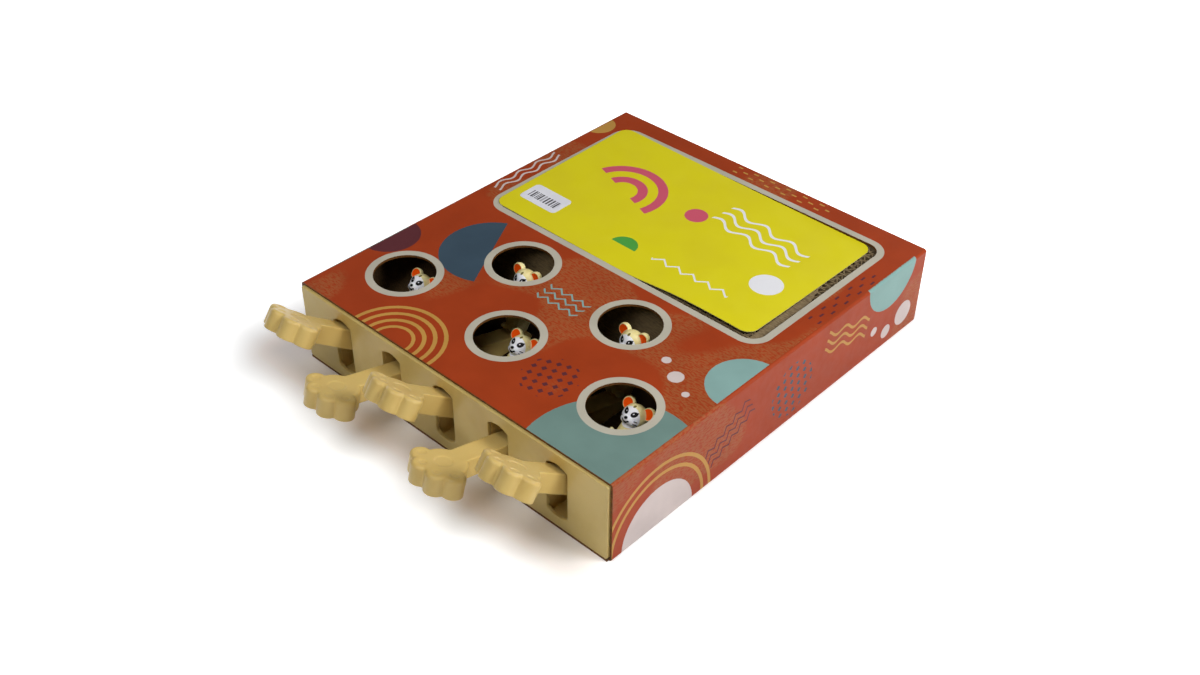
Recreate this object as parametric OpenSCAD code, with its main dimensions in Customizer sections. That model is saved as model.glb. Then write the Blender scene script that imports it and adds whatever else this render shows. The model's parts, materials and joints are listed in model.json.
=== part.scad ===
// Cat scratching board with a play bay: a card box with a corrugated pad in a window
// and five paw levers that lift toy mice through round holes in the top.
// Millimetres. Origin at the middle of the bottom, X to the right, Y to the back, Z up.

/* [Box] */
// Width of the box, left to right
box_w = 264; // [230:1:320]
// Depth of the box, front to back
box_d = 300; // [280:1:360]
// Height of the box
box_h = 58; // [55:0.5:70]
// Thickness of the printed board
board = 1.6; // [1:0.1:2.5]
// Inside radius of the folds along the long edges
fold_inner_r = 0.4; // [0.1:0.1:2]

/* [Holes and window in the top] */
// Distance from the sides of the box to the first and the last lane's outer edge
lane_margin = 17; // [14:0.5:20]
// Diameter of the holes
hole_d = 40; // [36:0.5:44]
// Distance from the front edge to the middle of the front row of holes
front_row_setback = 50; // [46:0.5:56]
// Distance between the front and the back row of holes
row_spacing = 59; // [50:0.5:64]
// Distance from the window to the sides of the box
window_side = 20.5; // [12:0.5:40]
// Distance from the front edge of the box to the window
window_setback = 146; // [140:0.5:180]
// Corner radius of the window
window_r = 10; // [4:0.5:20]
// Distance from the window to the back edge of the box
window_margin = 20; // [12:0.5:30]

/* [Partition and pad] */
// Thickness of the partition behind the play bay
partition_t = 3; // [1.5:0.1:5]
// Distance from the partition to the window behind it
partition_lead = 8; // [3:0.5:10]
// Clearance around the pad
pad_gap = 1; // [0.3:0.1:3]
// Depth of the pad's top below the underside of the box top
pad_drop = 0.7; // [0.3:0.1:6]
// Nominal thickness of one corrugated strip
strip_pitch = 7; // [5:0.5:10]
// Nominal length of one flute wave
flute_pitch = 8.4; // [6:0.1:12]
// Thickness of the flat liners
liner_t = 0.5; // [0.3:0.05:0.8]
// Thickness of the fluted paper
flute_t = 0.5; // [0.3:0.05:0.8]
// Glue line between a flute's crest and the liner
glue_gap = 0.05; // [0.03:0.01:0.1]

/* [Insert card] */
// How far the loose card lies over the window's left edge
card_lap = 0.6; // [0.4:0.1:6]
// Gap between the card and the window's right edge
card_right_gap = 7; // [1:0.5:40]
// Gap between the card and the window's front edge
card_front_gap = 2; // [0.5:0.5:40]
// Gap between the card and the window's back edge
card_back_gap = 0.5; // [0.3:0.1:10]
// Corner radius of the card
card_r = 8; // [2:0.5:15]
// Thickness of the card
card_t = 0.5; // [0.3:0.05:1]
// Gap under the card's two lines of rest, on the box top and on the pad
card_rest_gap = 0.03; // [0.02:0.01:0.1]
// Width of the label on the card
sticker_w = 33; // [20:0.5:50]
// Depth of the label
sticker_d = 19.5; // [10:0.5:25]
// Corner radius of the label
sticker_r = 2; // [0.5:0.1:4]
// Thickness of the label
sticker_t = 0.15; // [0.1:0.05:0.3]
// Distance from the card's left edge to the label
sticker_left = 7; // [2:0.5:20]
// Distance from the card's front edge to the label
sticker_front = 14.5; // [10:0.5:40]

/* [Front panel] */
// Thickness of the panel's face
panel_t = 2.4; // [1.6:0.1:3.5]
// How far the panel's face stands out of the box's front edge
panel_proud = 1.8; // [0:0.1:2]
// Clearance between the panel and the inside of the box
panel_gap = 0.2; // [0.1:0.05:0.5]
// Corner radius of the panel
panel_r = 1; // [0.5:0.1:3]
// Thickness of the skirt around the back of the panel
skirt_t = 1.8; // [1.2:0.1:3]
// Depth of the skirt along the top and the sides
skirt_d = 8; // [4:0.5:12]
// Depth of the shelf at the bottom, which carries the rod's brackets
shelf_d = 22; // [21:0.5:30]
// Width of the slots
slot_w = 16; // [15.5:0.1:20]
// Height of the straight part of the slots
slot_h = 34.2; // [33.6:0.1:36]
// Rise of the arched slot ends
slot_arch = 2.5; // [1:0.1:4]
// Height of the middle of the slots above the bottom of the box
slot_mid = 28.6; // [28.3:0.1:29.5]

/* [Pivot] */
// Distance from the front edge to the levers' pivot
pivot_setback = 12; // [11:0.5:14]
// Height of the pivot above the bottom of the box
pivot_z = 27; // [26:0.5:28]
// Diameter of the pivot rod
rod_d = 5; // [3:0.1:6]
// Radial play of the rod in the levers and brackets
rod_play = 0.05; // [0.02:0.01:0.1]
// Length of the rod that stands out past the outer brackets
rod_end = 3; // [1:0.5:5]
// Thickness of the brackets' side walls, which guide the levers
bracket_t = 2; // [1.5:0.1:4]
// Depth of the brackets, front to back
bracket_d = 20; // [18:0.5:21]
// Height of the brackets
bracket_h = 46; // [40:0.5:47]
// Radius of the brackets' upper back corners
bracket_r = 6; // [2:0.5:8]
// Thickness of the brackets' floors
bracket_floor_t = 2; // [1.5:0.1:3]
// Gap between a lever's boss and the walls beside it
side_gap = 0.8; // [0.4:0.1:1.5]

/* [Levers] */
// Width of the lever arms
arm_w = 13.5; // [12:0.1:14]
// Height of the lever arms and paws
arm_h = 12.5; // [11:0.1:13]
// Wall thickness of the arms and paws, which are hollow below
arm_wall = 1.8; // [1.4:0.1:2.5]
// Diameter of the boss that turns on the rod
boss_d = 10; // [8.5:0.1:11]
// Height of a resting front lever's centre line above its sole, at the mouse
front_sole = 6.5; // [6:0.1:8]
// Height of a resting back lever's centre line above its sole, at the mouse
back_sole = 0.9; // [0:0.1:3]
// Gap between the sole of a resting lever and the floor
sole_gap = 0.3; // [0.1:0.05:0.6]
// Length of the inner arm from the mouse's peg to the middle of its round end
arm_tail = 3.5; // [3:0.1:6]
// How far ahead of its hole a front mouse stands on a level lever
front_lead = 7.5; // [6.5:0.5:9]
// How far ahead of its hole a back mouse stands on a level lever
back_lead = 6.5; // [2:0.5:7]
// Distance from the pivot to the middle of the palm
palm_reach = 57.5; // [50:0.5:65]
// Diameter of the palm
palm_d = 28; // [24:0.5:32]
// Diameter of the toes
toe_d = 12.8; // [11:0.1:14]
// Distance from the middle of the palm to the two middle toes
inner_toe_reach = 11.6; // [10:0.1:14]
// Half the angle between the two middle toes
inner_toe_angle = 30; // [26:1:34]
// Distance from the middle of the palm to the two outer toes
outer_toe_reach = 14; // [12:0.1:15]
// Half the angle between the two outer toes
outer_toe_angle = 73; // [65:1:80]
// Radius of the rounded upper edge of the paws
paw_edge_r = 2; // [1:0.1:3]
// Depth of the sunk pads on top of the paws
paw_pad_depth = 0.4; // [0.3:0.1:1]
// Diameter of the sunk pads on the toes
toe_pad_d = 5; // [3:0.5:7]
// Diameter of the sunk pad on the palm
palm_pad_d = 11; // [8:0.5:14]
// Height of the mouse's seat above the lever's centre line
seat_h = 7.5; // [7:0.1:9]
// Diameter of the peg that holds the mouse
peg_d = 6; // [4:0.1:8]
// Height of the peg above the seat
peg_h = 8; // [5:0.5:10]
// Radial play of the peg in the mouse
peg_play = 0.05; // [0.02:0.01:0.1]

/* [Mice] */
// Diameter of the mouse's body
mouse_body_d = 16; // [13:0.5:17]
// Diameter of the mouse's neck
mouse_neck_d = 10; // [8:0.5:12]
// Diameter of the mouse's head
mouse_head_d = 15.5; // [13:0.5:17]
// Height of the middle of the head above the mouse's seat
mouse_head_h = 35; // [33:0.1:38]
// Diameter of the ears
mouse_ear_d = 8.4; // [6:0.1:9]
// Thickness of the ears
mouse_ear_t = 3.4; // [2:0.1:4]
// Distance of the ears from the middle of the head, sideways
mouse_ear_x = 7.6; // [6.5:0.1:8.5]
// Height of the ears above the middle of the head
mouse_ear_h = 5; // [4:0.1:6]
// Distance of the ears behind the middle of the head
mouse_ear_y = 1; // [0:0.1:2]
// Diameter of the snout
mouse_snout_d = 8; // [6:0.1:9]
// Distance of the snout from the middle of the head, forwards
mouse_snout_y = 5.4; // [4.5:0.1:6]
// Depth of the snout below the middle of the head
mouse_snout_drop = 1.9; // [0:0.1:3]
// Diameter of the forepaws
mouse_hand_d = 5; // [3.5:0.1:6]
// Distance of the forepaws from the middle of the body, sideways
mouse_hand_x = 4; // [2:0.1:6]
// Height of the forepaws above the mouse's seat
mouse_hand_h = 18.3; // [12:0.1:22]

/* [Hidden] */

$fn = 48;
// A cut runs past a face by this much
over = 1;

print_orange = "#9b3d1e";
cream = "#c8ae68";
kraft = "#8a6f4c";
lanes = [1, 2, 3, 4, 5];
middle_lane = 3;

// Folds and inside faces of the box
fold_r = board + fold_inner_r;
inner_w = box_w - 2 * board;
inner_top = box_h - board;
front_y = -box_d / 2;
back_y = box_d / 2;
inner_back = back_y - board;
flat_w = box_w - 2 * fold_r;

// Holes, slots, levers and mice share these lanes: odd ones belong to the front row
lane_pitch = (box_w - 2 * lane_margin) / len(lanes);
function lane_x(lane) = (lane - middle_lane) * lane_pitch;
function in_front(lane) = lane % 2 == 1;
function hole_y(lane) = front_y + front_row_setback + (in_front(lane) ? 0 : row_spacing);

// Window between the play bay and the margins of the top
window_w = box_w - 2 * window_side;
window_front = front_y + window_setback;
window_back = back_y - window_margin;
window_d = window_back - window_front;
partition_y = window_front - partition_lead - partition_t;

// Pad, from the partition to the back of the box
pad_w = inner_w - 2 * pad_gap;
pad_front = partition_y + partition_t + pad_gap;
pad_d = inner_back - pad_gap - pad_front;
pad_top = inner_top - pad_drop;
pad_h = pad_top - board;
strips = round(pad_d / strip_pitch);
strip_d = (pad_d - liner_t) / strips;
waves = round(pad_w / flute_pitch);
wave_w = pad_w / waves;
// Swing of the flute's middle line, so that its crests stop at the glue line
flute_swing = (strip_d - liner_t - flute_t) / 2 - glue_gap;

// Loose card, tilted from the window's left edge down to the pad
card_span = window_w - card_right_gap;
card_tilt = asin((box_h - pad_top) / card_span);
card_w = card_span + card_lap;
card_front = window_front + card_front_gap;
card_d = window_back - card_back_gap - card_front;

// Front panel
panel_w = inner_w - 2 * panel_gap;
panel_bottom = board + panel_gap;
panel_h = inner_top - panel_gap - panel_bottom;
panel_y = front_y - panel_proud;
panel_back = panel_y + panel_t;
shelf_top = panel_bottom + skirt_t;
slot_arch_r = (pow(slot_w / 2, 2) + pow(slot_arch, 2)) / (2 * slot_arch);

// Pivot and brackets
pivot_y = front_y + pivot_setback;
bore_d = rod_d + 2 * rod_play;
bracket_w = slot_w + 2 * bracket_t;
rod_l = lane_pitch * (len(lanes) - 1) + bracket_w + 2 * rod_end;
boss_w = slot_w - 2 * side_gap;

// Levers, in their own plane: u runs inwards from the pivot, n upwards
arm_r = arm_h / 2;
function peg_u(lane) = hole_y(lane) - pivot_y - (in_front(lane) ? front_lead : back_lead);
// A resting lever is tilted until its sole lies flat on the floor
sole_z = board + sole_gap;
function tilt(lane) = asin((pivot_z - sole_z - (in_front(lane) ? front_sole : back_sole)) / peg_u(lane));

// Rectangle with round corners about the origin
module rounded_rect(w, d, r) {
    square([w - 2 * r, d], center = true);
    square([w, d - 2 * r], center = true);
    for (x = [-1, 1], y = [-1, 1])
        translate([x * (w / 2 - r), y * (d / 2 - r)]) circle(r);
}

// Drawing in X and Z, with its front face at y and its thickness to the back
module upright_sheet(y, thick) {
    translate([0, y + thick, 0]) rotate([90, 0, 0]) linear_extrude(thick) children();
}

// Drawing in Y and Z, centred on X = 0
module side_sheet(thick) {
    rotate([90, 0, 90]) linear_extrude(thick, center = true) children();
}

module box_top() {
    color(print_orange)
    translate([0, 0, inner_top])
    linear_extrude(board)
    difference() {
        square([flat_w, box_d], center = true);
        for (lane = lanes) translate([lane_x(lane), hole_y(lane)]) circle(d = hole_d);
        translate([0, (window_front + window_back) / 2]) rounded_rect(window_w, window_d, window_r);
    }
}

module box_base() {
    color(print_orange)
    translate([0, 0, board / 2]) cube([flat_w, box_d, board], center = true);
}

// Side panel with the two folds that lead to the top and the base
module box_side(side) {
    color(print_orange)
    translate([0, back_y, 0]) rotate([90, 0, 0]) linear_extrude(box_d)
    intersection() {
        translate([0, box_h / 2]) difference() {
            rounded_rect(box_w, box_h, fold_r);
            rounded_rect(inner_w, box_h - 2 * board, fold_inner_r);
        }
        translate([side > 0 ? flat_w / 2 : -box_w / 2 - over, -over])
            square([fold_r + over, box_h + 2 * over]);
    }
}

// Back panel, folded in between the top, the base and the sides
module box_back() {
    color(print_orange)
    translate([-flat_w / 2, inner_back, board]) cube([flat_w, board, inner_top - board]);
}

module partition() {
    color(kraft)
    translate([-inner_w / 2, partition_y, board]) cube([inner_w, partition_t, inner_top - board]);
}

module pad_liners() {
    color(kraft)
    for (strip = [0:strips])
        translate([-pad_w / 2, pad_front + strip * strip_d, board]) cube([pad_w, liner_t, pad_h]);
}

// One fluted sheet seen from above, as a band along X
module flute_band() {
    middle = [for (i = [0:2 * waves]) [i * wave_w / 2, (i % 2 == 0 ? -1 : 1) * flute_swing]];
    far_side = [for (point = middle) point + [0, flute_t / 2]];
    near_side = [for (i = [len(middle) - 1:-1:0]) middle[i] - [0, flute_t / 2]];
    polygon(concat(far_side, near_side));
}

// Every second sheet is turned over, so that its waves don't line up with its neighbours'
module pad_flutes() {
    color(kraft)
    for (strip = [0:strips - 1])
        translate([-pad_w / 2, pad_front + liner_t / 2 + (strip + 0.5) * strip_d, board])
        mirror([0, strip % 2, 0])
        linear_extrude(pad_h) flute_band();
}

// Puts a child that is drawn from the card's left front corner onto the lying card
module on_card() {
    translate([-window_w / 2, card_front, box_h + card_rest_gap])
        rotate([0, card_tilt, 0]) translate([-card_lap, 0, 0]) children();
}

module insert_card() {
    color("#d8cc1e")
    on_card()
    linear_extrude(card_t) translate([card_w / 2, card_d / 2]) rounded_rect(card_w, card_d, card_r);
}

module card_sticker() {
    color("#e4e4ea")
    on_card()
    translate([sticker_left + sticker_w / 2, sticker_front + sticker_d / 2, card_t])
    linear_extrude(sticker_t) rounded_rect(sticker_w, sticker_d, sticker_r);
}

// Slot with straight sides and shallow arched ends
module slot_outline() {
    square([slot_w, slot_h], center = true);
    for (end = [-1, 1])
        translate([0, end * (slot_h / 2 + slot_arch - slot_arch_r)])
        intersection() {
            circle(slot_arch_r);
            translate([0, end * slot_arch_r]) square([slot_w, 2 * slot_arch_r], center = true);
        }
}

module panel_outline() {
    translate([0, panel_bottom + panel_h / 2]) rounded_rect(panel_w, panel_h, panel_r);
}

module front_panel() {
    color(cream) {
        upright_sheet(panel_y, panel_t) difference() {
            panel_outline();
            for (lane = lanes) translate([lane_x(lane), slot_mid]) slot_outline();
        }
        upright_sheet(panel_back, skirt_d) difference() {
            panel_outline();
            translate([0, panel_bottom + panel_h / 2])
                square([panel_w - 2 * skirt_t, panel_h - 2 * skirt_t], center = true);
        }
        translate([-panel_w / 2 + panel_r, panel_back, panel_bottom])
            cube([panel_w - 2 * panel_r, shelf_d, skirt_t]);
    }
}

module pivot_rod() {
    color("silver")
    translate([0, pivot_y, pivot_z]) rotate([0, 90, 0]) cylinder(h = rod_l, d = rod_d, center = true);
}

// Side wall of a bracket, from its lower front corner
module bracket_wall() {
    square([bracket_d - bracket_r, bracket_h]);
    square([bracket_d, bracket_h - bracket_r]);
    translate([bracket_d - bracket_r, bracket_h - bracket_r]) circle(bracket_r);
}

// Bracket behind a slot: two walls that guide the lever and carry the rod, on a floor between them
module rod_bracket() {
    difference() {
        union() {
            for (side = [-1, 1])
                translate([side * (slot_w + bracket_t) / 2, 0, 0]) side_sheet(bracket_t) bracket_wall();
            translate([-bracket_w / 2, 0, 0]) cube([bracket_w, bracket_d, bracket_floor_t]);
        }
        translate([0, pivot_y - panel_back, pivot_z - shelf_top])
            rotate([0, 90, 0]) cylinder(h = bracket_w + 2 * over, d = bore_d, center = true);
    }
}

module rod_brackets() {
    color(cream)
    for (lane = lanes) translate([lane_x(lane), panel_back, shelf_top]) rod_bracket();
}

// Straight arm from the palm to its round inner end
module arm(lane) {
    end_u = peg_u(lane) + arm_tail;
    translate([-arm_w / 2, -palm_reach, -arm_r]) cube([arm_w, palm_reach + end_u, arm_h]);
    translate([0, end_u, 0]) rotate([0, 90, 0]) cylinder(h = arm_w, d = arm_h, center = true);
}

// Everything below the sole, drawn on a level lever
module below_sole(lane) {
    long = peg_u(lane) + arm_tail + arm_h;
    rotate([tilt(lane), 0, 0])
        translate([-arm_w / 2 - over, 0, sole_z - pivot_z - arm_h])
        cube([arm_w + 2 * over, long, arm_h]);
}

// Places a child at each toe, in the plane of the paw
module at_toes() {
    for (side = [-1, 1], toe = [[inner_toe_reach, inner_toe_angle], [outer_toe_reach, outer_toe_angle]])
        translate([side * toe[0] * sin(toe[1]), -palm_reach - toe[0] * cos(toe[1]), 0]) children();
}

// Disc of the paw's height with a rounded upper edge
module paw_disc(d) {
    rotate_extrude() translate([0, -arm_r]) {
        square([d / 2, arm_h - paw_edge_r]);
        square([d / 2 - paw_edge_r, arm_h]);
        translate([d / 2 - paw_edge_r, arm_h - paw_edge_r]) intersection() {
            circle(paw_edge_r);
            square(paw_edge_r);
        }
    }
}

module paw() {
    translate([0, -palm_reach, 0]) paw_disc(palm_d);
    at_toes() paw_disc(toe_d);
}

// Shallow pads sunk into the top of the paw
module paw_pads() {
    translate([0, 0, arm_r - paw_pad_depth]) {
        at_toes() cylinder(h = paw_pad_depth + over, d = toe_pad_d);
        translate([0, -palm_reach, 0]) cylinder(h = paw_pad_depth + over, d = palm_pad_d);
    }
}

// Hollows under the paw and under the arm, up to the block that carries the peg
module lever_core(lane) {
    roof = arm_r - arm_wall;
    deep = arm_h + 2 * over;
    core_w = arm_w - 2 * arm_wall;
    translate([0, 0, roof - deep]) {
        translate([0, -palm_reach, 0]) cylinder(h = deep, d = palm_d - 2 * arm_wall);
        at_toes() cylinder(h = deep, d = toe_d - 2 * arm_wall);
        translate([-core_w / 2, -palm_reach, 0]) cube([core_w, palm_reach + peg_u(lane) - peg_d, deep]);
    }
}

// Lever at level, with the pivot at the origin
module level_lever(lane) {
    difference() {
        union() {
            difference() {
                union() {
                    arm(lane);
                    paw();
                }
                lever_core(lane);
                paw_pads();
            }
            rotate([0, 90, 0]) cylinder(h = boss_w, d = boss_d, center = true);
            translate([0, peg_u(lane), 0]) cylinder(h = seat_h, d = arm_w);
            translate([0, peg_u(lane), 0]) cylinder(h = seat_h + peg_h, d = peg_d);
        }
        rotate([0, 90, 0]) cylinder(h = slot_w, d = bore_d, center = true);
        below_sole(lane);
    }
}

// Puts a child that is drawn on a level lever onto the resting one
module on_lever(lane) {
    translate([lane_x(lane), pivot_y, pivot_z]) rotate([-tilt(lane), 0, 0]) children();
}

module lever(lane) {
    color(cream) on_lever(lane) level_lever(lane);
}

// Mouse standing on its seat and looking to the front
module standing_mouse() {
    body_r = mouse_body_d / 2;
    difference() {
        union() {
            cylinder(h = body_r, d = arm_w);
            translate([0, 0, body_r]) sphere(d = mouse_body_d);
            translate([0, 0, body_r])
                cylinder(h = mouse_head_h - body_r, d1 = mouse_body_d, d2 = mouse_neck_d);
            translate([0, 0, mouse_head_h]) sphere(d = mouse_head_d);
            translate([0, -mouse_snout_y, mouse_head_h - mouse_snout_drop]) sphere(d = mouse_snout_d);
            for (side = [-1, 1]) {
                translate([side * mouse_ear_x, mouse_ear_y, mouse_head_h + mouse_ear_h])
                    rotate([90, 0, 0]) cylinder(h = mouse_ear_t, d = mouse_ear_d, center = true);
                translate([side * mouse_hand_x, -body_r, mouse_hand_h]) sphere(d = mouse_hand_d);
            }
        }
        translate([0, 0, -over]) cylinder(h = peg_h + 2 * over, d = peg_d + 2 * peg_play);
    }
}

module mouse(lane) {
    color("#e6d6a0") on_lever(lane) translate([0, peg_u(lane), seat_h]) standing_mouse();
}

box_top();
box_side(-1);  // box_left_side
box_side(1);  // box_right_side
box_base();
box_back();
partition();
pad_liners();
pad_flutes();
insert_card();
card_sticker();
front_panel();
pivot_rod();
rod_brackets();
lever(1);  // lever_1
lever(2);  // lever_2
lever(3);  // lever_3
lever(4);  // lever_4
lever(5);  // lever_5
mouse(1);  // mouse_1
mouse(2);  // mouse_2
mouse(3);  // mouse_3
mouse(4);  // mouse_4
mouse(5);  // mouse_5
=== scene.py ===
"""Looks of a cat scratching board: printed card box, corrugated pad, cream paw levers and toy mice."""
import json
import math

import bmesh
import bpy
import numpy as np
from mathutils import Matrix, Vector


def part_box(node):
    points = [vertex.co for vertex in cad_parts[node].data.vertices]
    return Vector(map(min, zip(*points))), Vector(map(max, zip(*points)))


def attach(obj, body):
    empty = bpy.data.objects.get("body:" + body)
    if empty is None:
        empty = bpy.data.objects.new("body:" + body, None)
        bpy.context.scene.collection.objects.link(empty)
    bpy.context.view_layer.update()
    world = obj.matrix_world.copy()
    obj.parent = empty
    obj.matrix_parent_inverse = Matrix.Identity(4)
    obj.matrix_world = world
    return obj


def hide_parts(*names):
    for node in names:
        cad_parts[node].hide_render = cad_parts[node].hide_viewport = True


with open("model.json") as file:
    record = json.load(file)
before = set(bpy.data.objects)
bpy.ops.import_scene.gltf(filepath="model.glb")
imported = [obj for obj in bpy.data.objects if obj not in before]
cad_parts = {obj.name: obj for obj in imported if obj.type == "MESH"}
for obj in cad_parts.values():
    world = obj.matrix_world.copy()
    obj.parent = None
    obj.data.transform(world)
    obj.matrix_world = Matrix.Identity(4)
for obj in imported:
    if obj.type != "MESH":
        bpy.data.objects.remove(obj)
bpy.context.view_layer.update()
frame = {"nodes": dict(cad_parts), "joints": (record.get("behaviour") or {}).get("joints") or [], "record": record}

MM = 0.001
X, Y, Z = range(3)
LANES = (1, 2, 3, 4, 5)
# A point nearer to a plane than this lies on it
ON_PLANE = 0.01 * MM

# The photograph's camera, in the part's frame: millimetres, degrees and pixels of a 1200 pixel wide picture
CAMERA_PLACE = (477.48, -535.69, 562.79)
CAMERA_AZIMUTH = 42.69
CAMERA_ELEVATION = 38.14
CAMERA_ROLL = 0.57
CAMERA_FOCAL = 1379.2
PICTURE_WIDTH = 1200
SENSOR_WIDTH = 36


def ink(red, green, blue):
    """Linear colour of an 8-bit screen colour."""
    shares = [value / 255 for value in (red, green, blue)]
    linear = [s / 12.92 if s <= 0.04045 else ((s + 0.055) / 1.055) ** 2.4 for s in shares]
    return (*linear, 1.0)


# Inks of the box and the card
ORANGE = ink(158, 60, 26)
ORANGE_LIGHT = ink(158, 85, 48)
TEAL = ink(110, 137, 130)
TEAL_PALE = ink(132, 166, 161)
NAVY = ink(60, 78, 92)
VIOLET = ink(92, 45, 50)
OCHRE = ink(188, 141, 70)
LILAC = ink(206, 192, 188)
BAND = ink(184, 178, 162)
PINK = ink(204, 86, 108)
GREEN = ink(76, 160, 66)
WHITE = ink(232, 232, 236)
BAR_INK = ink(58, 54, 60)

# Papers: pairs of a light and a dark tone, and the card's bare underside
KRAFT_DARK = ink(66, 49, 31)
KRAFT = (ink(104, 82, 54), KRAFT_DARK)
CUT_EDGE = (ink(126, 80, 36), KRAFT_DARK)
KRAFT_PALE = (ink(142, 122, 88), ink(94, 78, 55))
# Brown paper darkened as painted shade, for the inside of the box's base
KRAFT_PAINTED_SHADE = (ink(62, 46, 28), ink(40, 29, 17))
KRAFT_PAD = (ink(136, 118, 88), ink(84, 68, 46))
YELLOW = (ink(222, 211, 26), ink(218, 205, 30))
LABEL_WHITE = (ink(232, 232, 238), ink(222, 222, 230))
CARD_BACK = ink(196, 190, 170)

# Plastic, steel and the mice's paint
CREAM = ink(213, 184, 112)
CREAM_PANEL = ink(209, 184, 115)
STEEL = (ink(150, 150, 154), ink(196, 196, 200))
VINYL = (ink(240, 228, 168), ink(228, 210, 144))
MASK_WHITE = ink(240, 240, 244)
FACE_BLACK = ink(14, 13, 15)
BROW_BROWN = ink(112, 98, 48)
EAR_ORANGE = ink(248, 84, 8)


# Shader graphs

class Shade:
    """A material's node tree, with short calls for the nodes that the materials here share."""

    def __init__(self, name):
        self.material = bpy.data.materials.new(name)
        self.material.use_nodes = True
        self.tree = self.material.node_tree
        self.surface = self.tree.nodes["Principled BSDF"]

    def plug(self, socket, value):
        """Links a socket to another, or sets it to a plain value."""
        if isinstance(value, bpy.types.NodeSocket):
            self.tree.links.new(value, socket)
        else:
            socket.default_value = value

    def node(self, kind, values=(), **settings):
        """New node with its settings, and with its inputs plugged by name or number."""
        made = self.tree.nodes.new(kind)
        for key, value in settings.items():
            setattr(made, key, value)
        for key, value in dict(values).items():
            self.plug(made.inputs[key], value)
        return made

    def set(self, **values):
        """Sets the surface's sockets; an underscore in a name stands for a space."""
        for key, value in values.items():
            self.plug(self.surface.inputs[key.replace("_", " ")], value)

    def math(self, operation, *values):
        """Result of a calculation with numbers."""
        return self.node("ShaderNodeMath", enumerate(values), operation=operation).outputs[0]

    def vector(self, operation, *values):
        """Result of a calculation with vectors."""
        made = self.node("ShaderNodeVectorMath", enumerate(values), operation=operation)
        return made.outputs["Value" if operation == "LENGTH" else "Vector"]

    def least(self, *values):
        """Lowest of several numbers."""
        found = values[0]
        for value in values[1:]:
            found = self.math("MINIMUM", found, value)
        return found

    def most(self, *values):
        """Highest of several numbers."""
        found = values[0]
        for value in values[1:]:
            found = self.math("MAXIMUM", found, value)
        return found

    def place(self):
        """Position on the piece, in millimetres."""
        coordinates = self.node("ShaderNodeTexCoord").outputs["Object"]
        return self.vector("MULTIPLY", coordinates, (1 / MM, 1 / MM, 1 / MM))

    def normal(self):
        """Normal in the piece's own frame, as three sockets."""
        return self.parts(self.node("ShaderNodeTexCoord").outputs["Normal"])

    def parts(self, value):
        """The three numbers of a vector, as sockets."""
        return self.node("ShaderNodeSeparateXYZ", {0: value}).outputs

    def flat(self, across, up=0.0):
        """Vector in a drawing plane."""
        return self.node("ShaderNodeCombineXYZ", {0: across, 1: up}).outputs[0]

    def plane(self, place, across, up):
        """Drawing plane of a face: two of the position's axes."""
        parts = self.parts(place)
        return self.flat(parts[across], parts[up])

    def at(self, flat, x, y, turn=0):
        """Drawing plane moved to a spot and turned there."""
        values = {"Vector": flat, "Location": (x, y, 0), "Rotation": (0, 0, math.radians(turn))}
        return self.node("ShaderNodeMapping", values, vector_type="TEXTURE").outputs[0]

    def noise(self, place, size, detail=3):
        """Noise about 0.5, with features of that size in millimetres."""
        values = {"Vector": place, "Scale": 1 / size, "Detail": detail}
        return self.node("ShaderNodeTexNoise", values).outputs["Fac"]

    def ramp(self, value, low, high, to_low=0.0, to_high=1.0):
        """Smooth step between two levels of a value."""
        values = {"Value": value, "From Min": low, "From Max": high, "To Min": to_low, "To Max": to_high}
        return self.node("ShaderNodeMapRange", values, interpolation_type="SMOOTHSTEP").outputs[0]

    def inside(self, distance, soft):
        """One inside a drawn shape and zero outside, with a soft edge."""
        return self.ramp(distance, soft, -soft)

    def mix(self, share, first, second, blend="MIX"):
        """Mix of two colours, whose sockets have the numbers 6 and 7."""
        values = {0: share, 6: first, 7: second}
        return self.node("ShaderNodeMix", values, data_type="RGBA", blend_type=blend).outputs[2]

    def grey(self, level):
        """Grey of that level, as a colour."""
        return self.node("ShaderNodeCombineColor", {0: level, 1: level, 2: level}).outputs[0]

    def seen(self):
        """One where the camera looks straight at it, in a reflection or through glass."""
        rays = self.node("ShaderNodeLightPath").outputs
        return self.most(rays["Is Camera Ray"], rays["Is Glossy Ray"], rays["Is Transmission Ray"])

    def bump(self, height, depth, strength=1.0):
        """Bump of that depth in millimetres."""
        values = {"Height": height, "Distance": depth * MM, "Strength": strength}
        self.set(Normal=self.node("ShaderNodeBump", values).outputs[0])


# Drawn shapes: signed distances in millimetres, negative inside

def within(shade, value, width):
    """Band of that width about zero."""
    return shade.math("SUBTRACT", shade.math("ABSOLUTE", value), width / 2)


def repeated(shade, value, pitch):
    """The value counted from the nearest multiple of the pitch."""
    return shade.math("WRAP", value, pitch / 2, -pitch / 2)


def disc(shade, flat, radius):
    """Full disc."""
    return shade.math("SUBTRACT", shade.vector("LENGTH", flat), radius)


def oval(shade, flat, wide, tall):
    """Ellipse with those half axes."""
    scaled = shade.vector("MULTIPLY", flat, (1 / wide, 1 / tall, 0))
    return shade.math("MULTIPLY", disc(shade, scaled, 1.0), min(wide, tall))


def below(shade, flat):
    """The half plane below a straight line."""
    return shade.math("MULTIPLY", shade.parts(flat)[Y], -1.0)


def hill(shade, flat, radius):
    """Half disc that stands on its straight side."""
    return shade.most(disc(shade, flat, radius), below(shade, flat))


def rainbow(shade, flat, inner, outer, pitch, width):
    """Concentric half rings."""
    reach = shade.vector("LENGTH", flat)
    line = within(shade, repeated(shade, reach, pitch), width)
    rim = shade.most(shade.math("SUBTRACT", reach, outer), shade.math("SUBTRACT", inner, reach))
    return shade.most(line, rim, below(shade, flat))


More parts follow.
